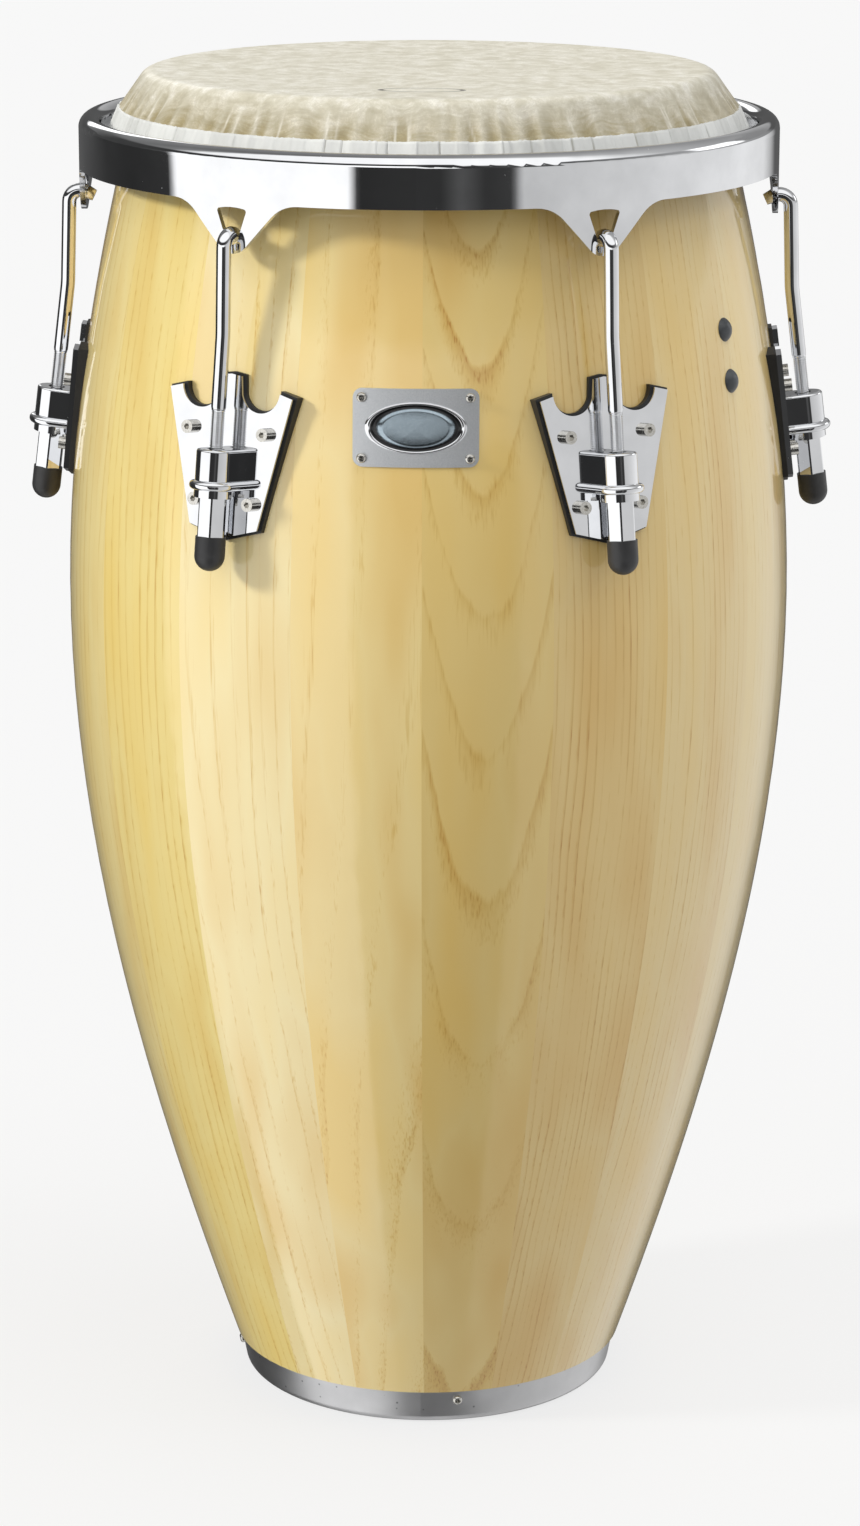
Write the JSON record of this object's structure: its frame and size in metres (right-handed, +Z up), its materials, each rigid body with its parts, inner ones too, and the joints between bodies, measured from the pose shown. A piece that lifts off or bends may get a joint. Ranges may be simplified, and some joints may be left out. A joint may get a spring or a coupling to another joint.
{
  "type": "conga drum",
  "caption": "Tall stave-built hand drum with a barrel-shaped wooden shell, a tensioned film head, a chrome rim and hooks drawn down by tuning nuts.",
  "frame": {"origin": "on the floor under the middle of the base ring, on the drum's axis", "axes": "+Z up along the drum's axis, -Y towards the side with the badge, +X to the right seen from the badge"},
  "size_m": [0.4526, 0.4075, 0.762],
  "materials": {
    "lacquered_ash": "clear gloss lacquer over open-grained ash staves",
    "satin_steel": "satin spun steel",
    "chrome": "bright chrome plate on steel",
    "screw_steel": "bright zinc plate",
    "badge_nickel": "pressed, satin nickel plate",
    "black_rubber": "moulded, matt",
    "plug_plastic": "moulded nylon, soft sheen",
    "head_film": "fibrous mottled film, satin",
    "white_band": "white film edge, satin",
    "hoop_steel": "mill finish"
  },
  "bodies": {
    "shell": {"stave_01": "lacquered_ash", "stave_02": "lacquered_ash", "stave_03": "lacquered_ash", "stave_04": "lacquered_ash", "stave_05": "lacquered_ash", "stave_06": "lacquered_ash", "stave_07": "lacquered_ash", "stave_08": "lacquered_ash", "stave_09": "lacquered_ash", "stave_10": "lacquered_ash", "stave_11": "lacquered_ash", "stave_12": "lacquered_ash", "stave_13": "lacquered_ash", "stave_14": "lacquered_ash", "stave_15": "lacquered_ash", "stave_16": "lacquered_ash", "stave_17": "lacquered_ash", "stave_18": "lacquered_ash", "base_ring": "satin_steel", "base_ring_screws": "screw_steel", "side_plate_1": "chrome", "side_plate_2": "chrome", "side_plate_3": "chrome", "side_plate_4": "chrome", "side_plate_5": "chrome", "side_plate_6": "chrome", "plate_gasket_1": "black_rubber", "plate_gasket_2": "black_rubber", "plate_gasket_3": "black_rubber", "plate_gasket_4": "black_rubber", "plate_gasket_5": "black_rubber", "plate_gasket_6": "black_rubber", "plate_screws": "screw_steel", "plate_nuts": "screw_steel", "lug_washers": "chrome", "badge": "badge_nickel", "badge_screws": "screw_steel", "hole_plugs": "plug_plastic", "head_film": "head_film", "collar_band": "white_band", "flesh_hoop": "hoop_steel"},
    "rim": {"rim": "chrome"},
    "hook_1": {"hook_1": "chrome"},
    "nut_1": {"tuning_nut_1": "chrome", "nut_cap_1": "black_rubber"},
    "hook_2": {"hook_2": "chrome"},
    "nut_2": {"tuning_nut_2": "chrome", "nut_cap_2": "black_rubber"},
    "hook_3": {"hook_3": "chrome"},
    "nut_3": {"tuning_nut_3": "chrome", "nut_cap_3": "black_rubber"},
    "hook_4": {"hook_4": "chrome"},
    "nut_4": {"tuning_nut_4": "chrome", "nut_cap_4": "black_rubber"},
    "hook_5": {"hook_5": "chrome"},
    "nut_5": {"tuning_nut_5": "chrome", "nut_cap_5": "black_rubber"},
    "hook_6": {"hook_6": "chrome"},
    "nut_6": {"tuning_nut_6": "chrome", "nut_cap_6": "black_rubber"}
  },
  "joints": [
    {"name": "rim_lift", "type": "slide", "parent": "shell", "child": "rim", "axis": [0, 0, 1], "range_m": [0, 0.01]},
    {"name": "hook_1_rise", "type": "slide", "parent": "shell", "child": "hook_1", "axis": [-0.0629, 0.1089, 0.9921], "range_m": [0, 0.01015]},
    {"name": "nut_1_turn", "type": "hinge", "parent": "shell", "child": "nut_1", "pos_m": [0.10685, -0.18507, 0.55661], "axis": [-0.0629, 0.1089, 0.9921], "range_deg": [-2918.1, 0]},
    {"name": "hook_2_rise", "type": "slide", "parent": "shell", "child": "hook_2", "axis": [-0.1258, 0, 0.9921], "range_m": [0, 0.01015]},
    {"name": "nut_2_turn", "type": "hinge", "parent": "shell", "child": "nut_2", "pos_m": [0.2137, 0, 0.55661], "axis": [-0.1258, 0, 0.9921], "range_deg": [-2918.1, 0]},
    {"name": "hook_3_rise", "type": "slide", "parent": "shell", "child": "hook_3", "axis": [-0.0629, -0.1089, 0.9921], "range_m": [0, 0.01015]},
    {"name": "nut_3_turn", "type": "hinge", "parent": "shell", "child": "nut_3", "pos_m": [0.10685, 0.18507, 0.55661], "axis": [-0.0629, -0.1089, 0.9921], "range_deg": [-2918.1, 0]},
    {"name": "hook_4_rise", "type": "slide", "parent": "shell", "child": "hook_4", "axis": [0.0629, -0.1089, 0.9921], "range_m": [0, 0.01015]},
    {"name": "nut_4_turn", "type": "hinge", "parent": "shell", "child": "nut_4", "pos_m": [-0.10685, 0.18507, 0.55661], "axis": [0.0629, -0.1089, 0.9921], "range_deg": [-2918.1, 0]},
    {"name": "hook_5_rise", "type": "slide", "parent": "shell", "child": "hook_5", "axis": [0.1258, 0, 0.9921], "range_m": [0, 0.01015]},
    {"name": "nut_5_turn", "type": "hinge", "parent": "shell", "child": "nut_5", "pos_m": [-0.2137, 0, 0.55661], "axis": [0.1258, 0, 0.9921], "range_deg": [-2918.1, 0]},
    {"name": "hook_6_rise", "type": "slide", "parent": "shell", "child": "hook_6", "axis": [0.0629, 0.1089, 0.9921], "range_m": [0, 0.01015]},
    {"name": "nut_6_turn", "type": "hinge", "parent": "shell", "child": "nut_6", "pos_m": [-0.10685, -0.18507, 0.55661], "axis": [0.0629, 0.1089, 0.9921], "range_deg": [-2918.1, 0]}
  ],
  "couplings": [
    {"joint": "hook_1_rise", "follows": "rim_lift", "ratio": 1.008},
    {"joint": "nut_1_turn", "follows": "rim_lift", "rad_per_m": -5066.8},
    {"joint": "hook_2_rise", "follows": "rim_lift", "ratio": 1.008},
    {"joint": "nut_2_turn", "follows": "rim_lift", "rad_per_m": -5066.8},
    {"joint": "hook_3_rise", "follows": "rim_lift", "ratio": 1.008},
    {"joint": "nut_3_turn", "follows": "rim_lift", "rad_per_m": -5066.8},
    {"joint": "hook_4_rise", "follows": "rim_lift", "ratio": 1.008},
    {"joint": "nut_4_turn", "follows": "rim_lift", "rad_per_m": -5066.8},
    {"joint": "hook_5_rise", "follows": "rim_lift", "ratio": 1.008},
    {"joint": "nut_5_turn", "follows": "rim_lift", "rad_per_m": -5066.8},
    {"joint": "hook_6_rise", "follows": "rim_lift", "ratio": 1.008},
    {"joint": "nut_6_turn", "follows": "rim_lift", "rad_per_m": -5066.8}
  ]
}
